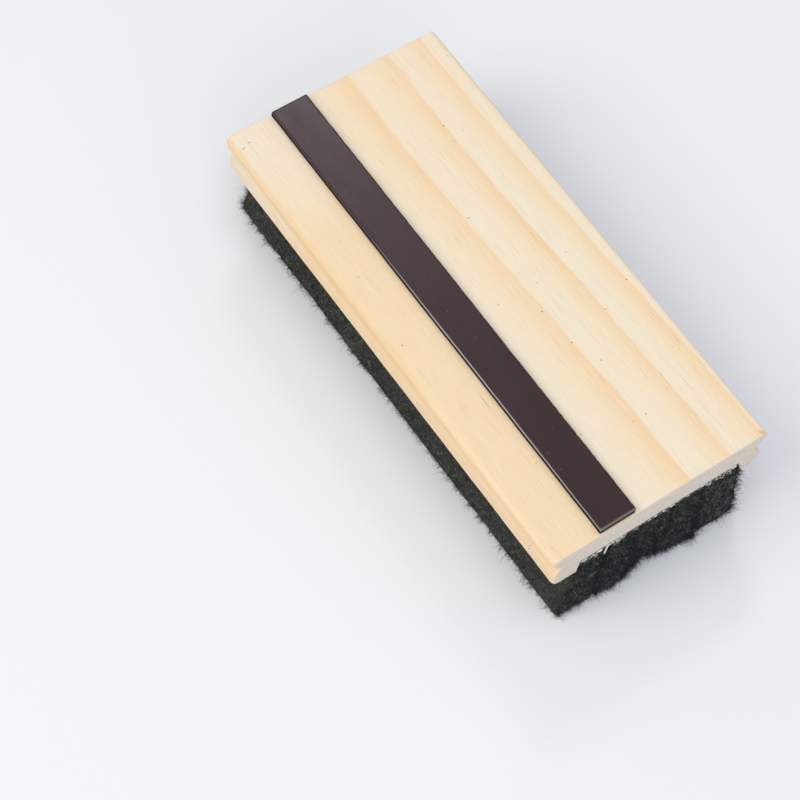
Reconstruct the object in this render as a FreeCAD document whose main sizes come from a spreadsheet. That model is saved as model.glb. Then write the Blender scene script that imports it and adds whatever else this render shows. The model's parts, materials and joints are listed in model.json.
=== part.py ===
"""Wooden chalkboard eraser with a felt sole and a magnetic holding strip.

Nine pieces in one rigid stack, from the top down: a rubber magnet strip, its
double-sided tape, the milled pine board with a finger groove along each long
side, the glue film in the board's underside recess, and five felt strips that
stand side by side on edge in that recess.

Frame: +X along the length, +Y across the width, +Z up. The origin is on the
surface that the felt rests on, under the middle of the board.
"""

import FreeCAD, Part
import os
import Sketcher

SIZES = [
    # Board
    ("BoardLength", 130.0, "board along X"),
    ("BoardWidth", 60.0, "board across Y, over the lips"),
    ("BoardThickness", 13.4, "board at its rims"),
    ("TopRound", 1.2, "radius of the two long top arrises"),
    ("LipBand", 1.6, "upright part of the lip's side"),
    ("LipHeight", 3.6, "whole lip above the finger groove"),
    ("LipLean", 0.9, "lip's foot behind its upright part"),
    ("GrooveDepth", 2.8, "finger groove behind the lip"),
    ("GrooveFloor", 1.6, "flat floor of the finger groove"),
    ("GrooveRound", 0.8, "radius at both edges of the groove's floor"),
    ("TongueHeight", 5.2, "tongue below the finger groove"),
    ("TongueInset", 0.8, "tongue tip behind the lip, mean of the two sides"),
    ("TongueShift", 0.5, "lower half of the moulding towards +Y"),
    ("TongueRound", 2.1, "radius of the tongue's nose"),
    # Recess that holds the felt
    ("WideRim", 8.0, "rim on the -Y side of the recess"),
    ("NarrowRim", 4.8, "rim on the +Y side of the recess"),
    ("RecessDepth", 4.9, "recess above the rims"),
    ("SteepDraft", 0.3, "lean of the recess wall on the -Y side"),
    ("WideDraft", 1.6, "lean of the recess wall on the +Y side"),
    ("GlueThickness", 0.4, "glue film under the recess ceiling"),
    ("GlueInset", 0.8, "glue film behind the board's ends and the recess walls"),
    # Felt
    ("StripCount", 5, "felt strips side by side"),
    ("StripGap", 0.1, "seam between neighbouring strips"),
    ("FeltClearance", 0.15, "felt to recess wall"),
    ("FeltStandout", 21.6, "felt below the rims"),
    ("FeltSplay", 2.2, "outer strip's lean outwards, from ceiling to foot"),
    ("FeltInset", 0.3, "felt behind the board's ends, longest strip"),
    ("StripStagger", 0.6, "uneven laying of the strips along X"),
    ("FeltRound", 1.5, "radius of each strip's upright corners"),
    # Magnet strip on its tape
    ("MagnetWidth", 10.0, "magnet strip across Y"),
    ("MagnetThickness", 1.5, "magnet strip"),
    ("MagnetMargin", 12.7, "magnet strip from the board's -Y side"),
    ("MagnetInset", 0.4, "magnet strip behind the board's ends"),
    ("MagnetArris", 0.15, "chamfer round the magnet strip's top"),
    ("TapeThickness", 0.2, "tape under the magnet strip"),
    ("TapeInset", 0.25, "tape behind the magnet strip's edges"),
]

doc = FreeCAD.newDocument("ChalkboardEraser")
sheet = doc.addObject("Spreadsheet::Sheet", "Sizes")
for row, (alias, value, note) in enumerate(SIZES, start=1):
    sheet.set(f"A{row}", note)
    sheet.set(f"B{row}", str(value))
    sheet.setAlias(f"B{row}", alias)
doc.recompute()

# Heights and widths that several pieces share, as formulas on the sheet's sizes
BOARD_TOP = "(Sizes.FeltStandout + Sizes.BoardThickness)"
SIDE = "(Sizes.BoardWidth / 2)"
CEILING = "(Sizes.FeltStandout + Sizes.RecessDepth)"
RECESS_LEFT = f"(-{SIDE} + Sizes.WideRim)"
RECESS_RIGHT = f"({SIDE} - Sizes.NarrowRim)"
CEILING_LEFT = f"({RECESS_LEFT} + Sizes.SteepDraft)"
CEILING_RIGHT = f"({RECESS_RIGHT} - Sizes.WideDraft)"
CEILING_WIDTH = f"({CEILING_RIGHT} - {CEILING_LEFT})"
CEILING_MIDDLE = f"(({CEILING_LEFT} + {CEILING_RIGHT}) / 2)"
STRIP_PITCH = f"(({CEILING_WIDTH} - 2 * Sizes.FeltClearance + Sizes.StripGap) / Sizes.StripCount)"
MAGNET_MIDDLE = f"(-{SIDE} + Sizes.MagnetMargin + Sizes.MagnetWidth / 2)"

YZ = "YZ_Plane"
XY = "XY_Plane"


def new_body(label, across="0", up="0", along="0"):
    """Body named after its node, placed by three formulas."""
    body = doc.addObject("PartDesign::Body", label)
    body.Label = label
    body.setExpression("Placement.Base.x", along)
    body.setExpression("Placement.Base.y", across)
    body.setExpression("Placement.Base.z", up)
    return body


def closed_sketch(body, plane, corners):
    """Sketch of straight lines through corners, each given as two formulas."""
    sketch = body.newObject("Sketcher::SketchObject", body.Label + "_profile")
    origin_plane = next(o for o in body.Origin.OriginFeatures if o.Role == plane)
    sketch.AttachmentSupport = [(origin_plane, "")]
    sketch.MapMode = "FlatFace"
    points = [
        FreeCAD.Vector(float(sketch.evalExpression(x)), float(sketch.evalExpression(y)), 0)
        for x, y in corners
    ]
    for index, point in enumerate(points):
        sketch.addGeometry(Part.LineSegment(point, points[(index + 1) % len(points)]))
    for index, (x, y) in enumerate(corners):
        previous = (index - 1) % len(corners)
        sketch.addConstraint(Sketcher.Constraint("Coincident", previous, 2, index, 1))
        for kind, formula, value in (("DistanceX", x, points[index].x), ("DistanceY", y, points[index].y)):
            number = sketch.addConstraint(Sketcher.Constraint(kind, -1, 1, index, 1, value))
            sketch.setExpression(f"Constraints[{number}]", formula)
    doc.recompute()
    return sketch


def rectangle(width, depth):
    """Corners of a rectangle centred on the sketch's origin."""
    return [
        (f"-({width}) / 2", f"-({depth}) / 2"),
        (f"({width}) / 2", f"-({depth}) / 2"),
        (f"({width}) / 2", f"({depth}) / 2"),
        (f"-({width}) / 2", f"({depth}) / 2"),
    ]


def pad(body, sketch, length, centred=False):
    feature = body.newObject("PartDesign::Pad", body.Label + "_pad")
    feature.Profile = sketch
    feature.setExpression("Length", length)
    feature.Midplane = centred
    sketch.Visibility = False
    doc.recompute()
    return feature


def edges_where(feature, test):
    """Names of a feature's edges whose middle point and direction pass the test."""
    names = []
    for number, edge in enumerate(feature.Shape.Edges, start=1):
        middle = edge.valueAt((edge.FirstParameter + edge.LastParameter) / 2)
        direction = edge.tangentAt(edge.FirstParameter)
        if test(middle, direction):
            names.append(f"Edge{number}")
    return names


def dress(body, kind, base, edges, size):
    """Fillet or chamfer on the named edges of the body's last feature."""
    feature = body.newObject("PartDesign::" + kind, f"{body.Label}_{kind.lower()}_{len(body.Group)}")
    feature.Base = (base, edges)
    feature.setExpression("Radius" if kind == "Fillet" else "Size", size)
    doc.recompute()
    return feature


def number(formula):
    return float(sheet.evalExpression(formula))


def make_board():
    """Milled pine: flat top, finger grooves in both long sides, felt recess below."""
    body = new_body("board", up=BOARD_TOP)
    rim = "-Sizes.BoardThickness"
    ceiling = "-Sizes.BoardThickness + Sizes.RecessDepth"
    lip_foot = "-Sizes.LipHeight"
    tongue_top = f"({rim} + Sizes.TongueHeight)"
    groove_middle = f"({lip_foot} + {tongue_top}) / 2"
    groove_top = f"{groove_middle} + Sizes.GrooveFloor / 2"
    groove_foot = f"{groove_middle} - Sizes.GrooveFloor / 2"
    left_tongue = f"-{SIDE} + Sizes.TongueInset + Sizes.TongueShift"
    right_tongue = f"{SIDE} - Sizes.TongueInset + Sizes.TongueShift"
    corners = [
        (f"-{SIDE}", "0"),
        (f"-{SIDE}", "-Sizes.LipBand"),
        (f"-{SIDE} + Sizes.LipLean", lip_foot),
        (f"-{SIDE} + Sizes.GrooveDepth", groove_top),
        (f"-{SIDE} + Sizes.GrooveDepth", groove_foot),
        (left_tongue, tongue_top),
        (left_tongue, rim),
        (RECESS_LEFT, rim),
        (CEILING_LEFT, ceiling),
        (CEILING_RIGHT, ceiling),
        (RECESS_RIGHT, rim),
        (right_tongue, rim),
        (right_tongue, tongue_top),
        (f"{SIDE} - Sizes.GrooveDepth", groove_foot),
        (f"{SIDE} - Sizes.GrooveDepth", groove_top),
        (f"{SIDE} - Sizes.LipLean", lip_foot),
        (SIDE, "-Sizes.LipBand"),
        (SIDE, "0"),
    ]
    blank = pad(body, closed_sketch(body, YZ, corners), "Sizes.BoardLength", centred=True)

    def long_edges_at(feature, places):
        """Edges along X through the given (across, up) places, written as formulas."""
        spots = [(number(across), number(up)) for across, up in places]

        def test(middle, direction):
            near = any(abs(middle.y - y) < 0.01 and abs(middle.z - z) < 0.01 for y, z in spots)
            return near and abs(direction.x) > 0.99

        return edges_where(feature, test)

    top_edges = long_edges_at(blank, [corners[0], corners[-1]])
    eased = dress(body, "Fillet", blank, top_edges, "min(Sizes.TopRound; 0.9 * Sizes.LipBand)")
    noses = [(side, up) for side in (left_tongue, right_tongue) for up in (tongue_top, rim)]
    nose_round = "min(Sizes.TongueRound; 0.45 * Sizes.TongueHeight)"
    nosed = dress(body, "Fillet", eased, long_edges_at(eased, noses), nose_round)
    walls = (f"-{SIDE} + Sizes.GrooveDepth", f"{SIDE} - Sizes.GrooveDepth")
    floor = [(wall, up) for wall in walls for up in (groove_top, groove_foot)]
    groove_round = "min(Sizes.GrooveRound; Sizes.GrooveFloor)"
    dress(body, "Fillet", nosed, long_edges_at(nosed, floor), groove_round)
    return body


def make_glue():
    """Film of glue that fills the space between the recess ceiling and the felt."""
    body = new_body("felt_glue", across=CEILING_MIDDLE, up=f"{CEILING} - Sizes.GlueThickness")
    outline = rectangle(
        "Sizes.BoardLength - 2 * Sizes.GlueInset",
        f"{CEILING_WIDTH} - 2 * Sizes.GlueInset",
    )
    pad(body, closed_sketch(body, XY, outline), "Sizes.GlueThickness")
    return body


def make_felt_strip(index):
    """One felt strip on edge: square in the recess, leaning outwards to its foot."""
    from_middle = f"({index} - (Sizes.StripCount - 1) / 2)"
    # Lean from centre line to centre line, so that the outer strip leans by FeltSplay
    lean = f"({from_middle} * 2 * Sizes.FeltSplay / (Sizes.StripCount - 1))"
    widening = "(Sizes.FeltSplay / (Sizes.StripCount - 1))"
    half_width = f"(({STRIP_PITCH} - Sizes.StripGap) / 2)"
    height = f"({CEILING} - Sizes.GlueThickness)"
    # Strips are laid by hand, so their ends step in and out by up to the stagger
    step = ((2 * index + 1) % 5 - 2) / 2
    body = new_body(
        f"felt_strip_{index + 1}",
        across=f"{CEILING_MIDDLE} + {from_middle} * {STRIP_PITCH}",
        along=f"{step} * Sizes.StripStagger",
    )
    corners = [
        (f"{lean} - {half_width} - {widening}", "0"),
        (f"{lean} + {half_width} + {widening}", "0"),
        (half_width, "Sizes.FeltStandout"),
        (half_width, height),
        (f"-{half_width}", height),
        (f"-{half_width}", "Sizes.FeltStandout"),
    ]
    length = "Sizes.BoardLength - 2 * (Sizes.FeltInset + Sizes.StripStagger)"
    blank = pad(body, closed_sketch(body, YZ, corners), length, centred=True)

    def upright(middle, direction):
        return abs(direction.z) > 0.9

    dress(body, "Fillet", blank, edges_where(blank, upright), "Sizes.FeltRound")
    return body


def make_tape():
    """Double-sided tape that holds the magnet strip on the board."""
    body = new_body("magnet_tape", across=MAGNET_MIDDLE, up=BOARD_TOP)
    outline = rectangle(
        "Sizes.BoardLength - 2 * Sizes.MagnetInset - 2 * Sizes.TapeInset",
        "Sizes.MagnetWidth - 2 * Sizes.TapeInset",
    )
    pad(body, closed_sketch(body, XY, outline), "Sizes.TapeThickness")
    return body


def make_magnet():
    """Flexible rubber magnet strip, cut square, with its top arris broken."""
    body = new_body("magnet_strip", across=MAGNET_MIDDLE, up=f"{BOARD_TOP} + Sizes.TapeThickness")
    outline = rectangle("Sizes.BoardLength - 2 * Sizes.MagnetInset", "Sizes.MagnetWidth")
    blank = pad(body, closed_sketch(body, XY, outline), "Sizes.MagnetThickness")
    top = number("Sizes.MagnetThickness")

    def on_top(middle, direction):
        return abs(middle.z - top) < 0.001

    dress(body, "Chamfer", blank, edges_where(blank, on_top), "Sizes.MagnetArris")
    return body


bodies = [make_board(), make_glue(), make_tape(), make_magnet()]
for strip in range(int(sheet.StripCount)):
    bodies.append(make_felt_strip(strip))
doc.recompute()

for item in doc.Objects:
    if "Invalid" in item.State or "Error" in item.State:
        raise RuntimeError(f"{item.Label} did not compute: {item.State}")
for body in bodies:
    if body.Shape.isNull() or not body.Shape.isValid() or len(body.Shape.Solids) != 1:
        raise RuntimeError(f"{body.Label} is not one sound solid")

os.makedirs("parts", exist_ok=True)
for body in bodies:
    body.Shape.exportStep(f"parts/{body.Label}.step")
    box = body.Shape.optimalBoundingBox()
    print(body.Label, [round(size, 2) for size in (box.XLength, box.YLength, box.ZLength)])
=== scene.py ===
"""Wooden chalkboard eraser: milled pine board, rubber magnet strip and a sole of
five black felt strips, dressed around the CAD frame. Lengths are in metres."""

import json

import bpy
import numpy as np
from mathutils import Matrix, Vector

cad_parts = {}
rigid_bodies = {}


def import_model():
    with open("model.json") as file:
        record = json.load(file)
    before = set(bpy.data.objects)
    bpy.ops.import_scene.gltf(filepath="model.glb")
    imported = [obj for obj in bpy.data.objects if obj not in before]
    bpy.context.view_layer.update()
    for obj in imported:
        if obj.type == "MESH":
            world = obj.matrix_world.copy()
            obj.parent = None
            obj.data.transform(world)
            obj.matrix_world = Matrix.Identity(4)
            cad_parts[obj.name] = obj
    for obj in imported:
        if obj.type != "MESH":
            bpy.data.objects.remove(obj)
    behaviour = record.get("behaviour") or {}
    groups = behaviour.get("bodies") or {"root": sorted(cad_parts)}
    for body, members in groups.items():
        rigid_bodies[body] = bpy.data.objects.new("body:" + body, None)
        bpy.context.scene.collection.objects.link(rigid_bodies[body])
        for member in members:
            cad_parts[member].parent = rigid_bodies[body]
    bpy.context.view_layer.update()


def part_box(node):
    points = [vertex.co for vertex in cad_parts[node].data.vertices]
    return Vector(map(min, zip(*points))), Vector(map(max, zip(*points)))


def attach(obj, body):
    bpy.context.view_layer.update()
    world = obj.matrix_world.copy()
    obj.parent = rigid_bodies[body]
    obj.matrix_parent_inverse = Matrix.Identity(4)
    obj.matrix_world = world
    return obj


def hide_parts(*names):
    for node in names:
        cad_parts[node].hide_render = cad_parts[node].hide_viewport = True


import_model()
MM = 0.001

# ---------- the table
# A plain pale table top under soft light: a broad lamp overhead, a key from the -Y side,
# a weak one in front, a small one behind for the rubber's sheen, and an even sky. The
# camera looks down on it from the +X end and the -Y side.
TABLE_SIZE = 6.0
TABLE_COLOUR = (0.848, 0.846, 0.857, 1)
TABLE_ROUGHNESS = 0.7
TABLE_GLOSS = 0.2

half = TABLE_SIZE / 2
table_corners = [(-half, -half, 0), (half, -half, 0), (half, half, 0), (-half, half, 0)]
table = bpy.data.meshes.new("table_top")
table.from_pydata(table_corners, [], [(0, 1, 2, 3)])
table_top = bpy.data.objects.new("table_top", table)
bpy.context.collection.objects.link(table_top)
table_paint = bpy.data.materials.new("table_paint")
table_paint.use_nodes = True
paint = table_paint.node_tree.nodes["Principled BSDF"].inputs
paint["Base Color"].default_value = TABLE_COLOUR
paint["Roughness"].default_value = TABLE_ROUGHNESS
paint["Specular IOR Level"].default_value = TABLE_GLOSS
table.materials.append(table_paint)


def softbox(name, place, size, power, colour):
    """Square area lamp at place that faces the middle of the object."""
    lamp = bpy.data.lights.new(name, "AREA")
    lamp.size = size
    lamp.energy = power
    lamp.color = colour
    holder = bpy.data.objects.new(name, lamp)
    holder.location = place
    holder.rotation_euler = (-Vector(place)).to_track_quat("-Z", "Y").to_euler()
    bpy.context.collection.objects.link(holder)


softbox("key", (-0.22, -1.10, 1.15), 0.9, 8.7, (1.0, 0.962, 0.82))
softbox("overhead", (0.30, -0.30, 1.85), 1.1, 12.4, (0.82, 0.90, 1.0))
softbox("front", (1.15, -0.45, 0.95), 0.9, 3.7, (0.72, 0.865, 1.0))
softbox("sheen", (-1.07, 0.65, 1.55), 0.34, 3.3, (1.0, 0.94, 0.985))

SKY_COLOUR = (0.988, 0.989, 1.0, 1)
SKY_STRENGTH = 0.427
sky = bpy.data.worlds.new("sky")
sky.use_nodes = True
backdrop = sky.node_tree.nodes["Background"].inputs
backdrop["Color"].default_value = SKY_COLOUR
backdrop["Strength"].default_value = SKY_STRENGTH
bpy.context.scene.world = sky
bpy.context.scene.view_settings.view_transform = "Standard"

EYE = Vector((0.21188, -0.21835, 0.52547))
LOOK = Vector((-0.35352, 0.32756, -0.87620))
PICTURE_UP = Vector((-0.74197, 0.47223, 0.47590))
FOCAL_LENGTH = 113.64
SENSOR_WIDTH = 36
camera = bpy.data.cameras.new("camera")
camera.lens = FOCAL_LENGTH
camera.sensor_width = SENSOR_WIDTH
camera_holder = bpy.data.objects.new("camera", camera)
right = LOOK.cross(PICTURE_UP).normalized()
up = right.cross(LOOK).normalized()
turn = Matrix((right, up, -LOOK.normalized())).transposed().to_4x4()
camera_holder.matrix_world = Matrix.Translation(EYE) @ turn
bpy.context.collection.objects.link(camera_holder)
bpy.context.scene.camera = camera_holder

# ---------- pine board
# One length of milled pine: flat top with eased arrises, a finger groove in each
# long side, and a wide recess underneath for the felt. The ends are sawn square
# and left raw; the faces are planed and bare.
BOARD_LOW, BOARD_HIGH = (np.array(corner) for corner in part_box("board"))
TOP = BOARD_HIGH[2]
RIM = BOARD_LOW[2]
HALF_WIDTH = BOARD_HIGH[1]
HALF_LENGTH = BOARD_HIGH[0]
TOP_ROUND = 1.2 * MM
LIP_BAND = 1.6 * MM
LIP_HEIGHT = 3.6 * MM
LIP_LEAN = 0.9 * MM
GROOVE_DEPTH = 2.8 * MM
GROOVE_FLOOR = 1.6 * MM
GROOVE_ROUND = 0.8 * MM
TONGUE_HEIGHT = 5.2 * MM
TONGUE_INSET = 0.8 * MM
TONGUE_SHIFT = 0.5 * MM
TONGUE_ROUND = 2.1 * MM
WIDE_RIM = 8.0 * MM
NARROW_RIM = 4.8 * MM
RECESS_DEPTH = 4.9 * MM
STEEP_DRAFT = 0.3 * MM
WIDE_DRAFT = 1.6 * MM
CEILING = RIM + RECESS_DEPTH
OUTLINE_STEP = 0.45 * MM
SAWN_EASE = 0.12 * MM
CAP_RINGS = 10
SPINE_STOP = 4.2 * MM
# Wear in millimetres: the sawn ends' raggedness, the nibbles at their edges, and how
# far the arrises beside them give way
RAGGED_DEPTH = 0.04
NIBBLE_DEPTH = 0.10
ARRIS_WEAR = 0.10
ARRIS_REACH = 0.5
# How far each corner of the plan is worn back, by its end and side
CORNER_WEAR = {(-1, -1): 1.4 * MM, (-1, 1): 0.35 * MM, (1, -1): 1.25 * MM, (1, 1): 0.3 * MM}


def rounded(corners, step):
    """Closed outline through (y, z, radius) corners: each corner is an arc that is
    tangent to both of its sides, and the line between arcs is cut into equal steps."""
    places = np.array([corner[:2] for corner in corners])
    points = []
    for index, (_, _, radius) in enumerate(corners):
        here = places[index]
        back = places[index - 1] - here
        ahead = places[(index + 1) % len(corners)] - here
        back_dir, ahead_dir = back / np.linalg.norm(back), ahead / np.linalg.norm(ahead)
        half_angle = np.arccos(np.clip(back_dir @ ahead_dir, -1, 1)) / 2
        cut = radius / np.tan(half_angle)
        bisector = (back_dir + ahead_dir) / np.linalg.norm(back_dir + ahead_dir)
        middle = here + bisector * radius / np.sin(half_angle)
        first, last = here + back_dir * cut - middle, here + ahead_dir * cut - middle
        sweep = np.pi - 2 * half_angle
        count = max(3, int(np.ceil(radius * sweep / step)) + 1)
        share = np.linspace(0, 1, count)[:, None]
        arc = (np.sin((1 - share) * sweep) * first + np.sin(share * sweep) * last) / np.sin(sweep)
        points.append(middle + arc)
    outline = []
    for index, arc in enumerate(points):
        following = points[(index + 1) % len(points)]
        run = following[0] - arc[-1]
        count = max(1, int(np.ceil(np.linalg.norm(run) / step)))
        outline += [arc, arc[-1] + run * np.arange(1, count)[:, None] / count]
    return np.concatenate(outline)


def inset(outline, depth):
    """Outline moved inwards by depth: each point goes against its outward normal."""
    along = np.roll(outline, -1, axis=0) - np.roll(outline, 1, axis=0)
    outward = np.stack([along[:, 1], -along[:, 0]], axis=1)
    return outline - depth * outward / np.linalg.norm(outward, axis=1, keepdims=True)


def unit(vectors):
    """Rows of vectors, each brought to length 1."""
    return vectors / np.linalg.norm(vectors, axis=1, keepdims=True)


def waves(places, length, seed, count=24):
    """Smooth random field of about -1 to 1: a sum of plane waves in random
    directions, each 0.6 to 1.6 times as long as length."""
    random = np.random.default_rng(seed)
    facing = unit(random.normal(size=(count, 3)))
    turns = 2 * np.pi / (length * random.uniform(0.6, 1.6, count))
    phases = random.uniform(0, 2 * np.pi, count)
    return np.cos(places @ (facing * turns[:, None]).T + phases).sum(axis=1) / np.sqrt(count)


def new_piece(name, points, faces, material, sharp=None):
    """Mesh object at the origin from arrays of points and of equal-sided faces."""
    mesh = bpy.data.meshes.new(name)
    mesh.vertices.add(len(points))
    mesh.vertices.foreach_set("co", np.ascontiguousarray(points, dtype=np.float32).ravel())
    corners = np.concatenate([np.asarray(block).ravel() for block in faces])
    sides = np.concatenate([np.full(len(block), np.shape(block)[1]) for block in faces])
    mesh.loops.add(len(corners))
    mesh.loops.foreach_set("vertex_index", corners.astype(np.int32))
    mesh.polygons.add(len(sides))
    mesh.polygons.foreach_set("loop_start", (np.cumsum(sides) - sides).astype(np.int32))
    mesh.update(calc_edges=True)
    mesh.validate()
    mesh.shade_smooth()
    if sharp is not None:
        mesh.set_sharp_from_angle(angle=sharp)
    mesh.materials.append(material)
    piece = bpy.data.objects.new(name, mesh)
    bpy.context.collection.objects.link(piece)
    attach(piece, "root")
    return piece


def ring_quads(rows, sides):
    """Quads between rings of points that follow each other, each with so many sides."""
    start = np.arange(rows - 1)[:, None] * sides
    here = np.arange(sides)
    after = (here + 1) % sides
    quads = [start + here, start + after, start + sides + after, start + sides + here]
    return np.stack(quads, axis=-1).reshape(-1, 4)


def bar(outline, stations, spine, ease, rings):
    """Closed bar: outline carried along X through the stations. Each end steps in by
    the ease, and its cap is a set of rings that shrink from there onto the spine,
    a function that gives each outline point its place on the cap's middle line.
    Returns points, faces, and 1 for each point on an end cap, 0 for the others."""
    eased = inset(outline, ease)
    middle = spine(eased)
    shares = np.linspace(0, 1, rings + 1)[1:, None, None]
    cap = eased + (middle - eased) * shares
    layers = [cap[::-1], eased[None], np.repeat(outline[None], len(stations), axis=0), eased[None], cap]
    sections = np.concatenate(layers)
    low, high = stations[0] - ease, stations[-1] + ease
    along = np.concatenate([np.full(rings + 1, low), stations, np.full(rings + 1, high)])
    points = np.concatenate([np.repeat(along[:, None, None], len(outline), axis=1), sections], axis=2)
    on_end = np.ones(len(along))
    on_end[rings + 1 : -rings - 1] = 0
    quads = ring_quads(len(along), len(outline))
    return points.reshape(-1, 3), quads, np.repeat(on_end, len(outline))


def crowded(low, high, coarse, fine):
    """Places from low to high that are fine apart at both ends and coarse between."""
    count = int((high - low) / coarse)
    even = np.linspace(low, high, count + 1)
    reach = coarse * 3
    start = np.arange(low, low + reach, fine)
    inner = even[(even > low + reach) & (even < high - reach)]
    return np.concatenate([start, inner, (low + high) - start[::-1]])


def worn_back(out):
    """Share by which a worn corner draws in, as out goes from 0 to 1 towards its tip:
    one minus the root of 1 - 0.9 * out squared."""
    return 1 - np.sqrt(1 - out**2 * 0.9)


def set_share(piece, name, values):
    """Stores one number per point for the material to read."""
    share = piece.data.attributes.new(name, "FLOAT", "POINT")
    share.data.foreach_set("value", values.astype(np.float32))


class Value:
    """A shader socket. Arithmetic on it adds the Math nodes that work it out."""

    def __init__(self, finish, socket):
        self.finish, self.socket = finish, socket

    def combine(self, operation, *others):
        """Math node on this value and the others, in that order."""
        sockets = dict(enumerate([self, *others]))
        return self.finish.add("Math", {"operation": operation}, sockets)

    def turned(self, operation, other):
        """Math node on the other value first and this one second."""
        return self.finish.add("Math", {"operation": operation}, {0: other, 1: self})

    def __add__(self, other):
        return self.combine("ADD", other)

    def __sub__(self, other):
        return self.combine("SUBTRACT", other)

    def __mul__(self, other):
        return self.combine("MULTIPLY", other)

    def __truediv__(self, other):
        return self.combine("DIVIDE", other)

    def __rsub__(self, other):
        return self.turned("SUBTRACT", other)

    __radd__ = __add__
    __rmul__ = __mul__

    def fraction(self):
        """What is left of the value above the whole number below it."""
        return self.combine("FRACT")

    def size(self):
        """The value without its sign."""
        return self.combine("ABSOLUTE")

    def rise(self, start, end):
        """0 before start, 1 after end, eased between; falls where end is lower."""
        settings = {"interpolation_type": "SMOOTHSTEP"}
        sockets = {"Value": self, "From Min": start, "From Max": end}
        if start > end:
            sockets = {"Value": self, "From Min": end, "From Max": start, "To Min": 1.0, "To Max": 0.0}
        return self.finish.add("MapRange", settings, sockets)


class Finish:
    """A material with one Principled shader and the nodes that feed it."""

    def __init__(self, name, **plain):
        self.material = bpy.data.materials.new(name)
        self.material.use_nodes = True
        self.tree = self.material.node_tree
        self.shader = self.tree.nodes["Principled BSDF"]
        for socket, value in plain.items():
            self.shader.inputs[socket.replace("_", " ")].default_value = value

    def add(self, kind, settings, sockets, output=0):
        """Adds a node, sets it up, joins its sockets, and gives one output."""
        node = self.tree.nodes.new("ShaderNode" + kind)
        for name, value in settings.items():
            setattr(node, name, value)
        for name, value in sockets.items():
            if isinstance(value, Value):
                self.tree.links.new(value.socket, node.inputs[name])
            else:
                node.inputs[name].default_value = value
        return Value(self, node.outputs[output])

    def feed(self, socket, value):
        """Joins a value to a socket of the Principled shader."""
        self.tree.links.new(value.socket, self.shader.inputs[socket])

    def millimetres(self):
        """Object coordinates in millimetres, as a vector and as x, y and z."""
        metres = self.add("TexCoord", {}, {}, "Object")
        place = self.add("VectorMath", {"operation": "SCALE"}, {0: metres, "Scale": 1 / MM})
        return place, [self.add("SeparateXYZ", {}, {0: place}, axis) for axis in "XYZ"]

    def noise(self, place, turns, shift=(0, 0, 0), detail=2.0, roughness=0.5, swirl=0.0, scale=1.0):
        """Noise of 0 to 1 that has so many turns to the millimetre along X, Y and Z."""
        moved = self.add("Mapping", {}, {"Vector": place, "Scale": turns, "Location": shift})
        sockets = {"Vector": moved, "Scale": scale, "Detail": detail, "Roughness": roughness}
        return self.add("TexNoise", {}, sockets | {"Distortion": swirl})

    def specks(self, place, turns, edge, kept):
        """Share of round specks, one to a cell. The edge is the range of distance over
        which a speck fades, the kept range is of each cell's random number."""
        cell = {"Vector": place, "Scale": turns}
        away = self.add("TexVoronoi", {}, cell, "Distance")
        tint = self.add("TexVoronoi", {}, cell, "Color")
        number = self.add("SeparateColor", {}, {0: tint}, "Red")
        return away.rise(*edge) * number.rise(*kept)

    def mix(self, share, under, over):
        """Colour that goes from under to over as share goes from 0 to 1."""
        return self.add("Mix", {"data_type": "RGBA"}, {0: share, 6: under, 7: over}, 2)

    def ramp(self, share, stops):
        """Colour read off a ramp of (place, red, green, blue) stops."""
        colour = self.add("ValToRGB", {}, {0: share}, "Color")
        elements = colour.socket.node.color_ramp.elements
        while len(elements) < len(stops):
            elements.new(1.0)
        for element, (place, *tone) in zip(elements, stops):
            element.position = place
            element.color = shade(*tone)
        return colour

    def share_of(self, name):
        """Number that was stored on the mesh by set_share."""
        return self.add("Attribute", {"attribute_name": name}, {}, "Fac")

    def bump(self, height, distance):
        """Bump whose height of 1 stands for distance, in metres."""
        sockets = {"Height": height, "Distance": distance, "Strength": 1.0}
        self.feed("Normal", self.add("Bump", {}, sockets, "Normal"))


def shade(red, green, blue):
    """Linear colour, alpha 1, from the usual 0 to 255 values by the sRGB curve."""
    values = np.array([red, green, blue]) / 255
    linear = np.where(values <= 0.04045, values / 12.92, ((values + 0.055) / 1.055) ** 2.4)
    return (*(float(part) for part in linear), 1.0)


# The log in millimetres: its pith lies to the -Y side and below the top. Each ring adds
# RING_AREA to the radius squared, and one edge lies RING_START past the depth squared
PITH_SIDE = 36.2
PITH_DEPTH = 133.0
RING_AREA = 1081.0
RING_START = 585.0
RINGS_INSIDE = 20.0
# How far the rings lean from end to end, and wander slowly and quickly
RING_LEAN = 3.1
SLOW_WANDER = 1.8
QUICK_WANDER = 0.9
# Tones over the planed faces
EVEN_WOOD = shade(242, 222, 192)
FAR_WOOD = shade(243, 209, 168)
WARM_RING = shade(243, 213, 174)
PALE_RING = shade(241, 225, 203)
GRAIN_LINE = shade(224, 178, 130)
PALE_LINE = shade(252, 243, 228)
RUBBED_WOOD = shade(222, 196, 160)
RESIN_STREAK = shade(196, 148, 96)
PIN_SPECK = shade(122, 92, 68)
RESINOUS_LIP = shade(234, 200, 155)
SCRATCH_DIRT = shade(120, 102, 88)
BRUISED_WOOD = shade(206, 142, 92)
# Tones over the sawn ends
OPEN_PORE = shade(166, 148, 138)
TORN_FIBRE = shade(255, 250, 243)
SAW_MARK = shade(244, 236, 226)
END_FOOT = shade(236, 224, 206)
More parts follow.
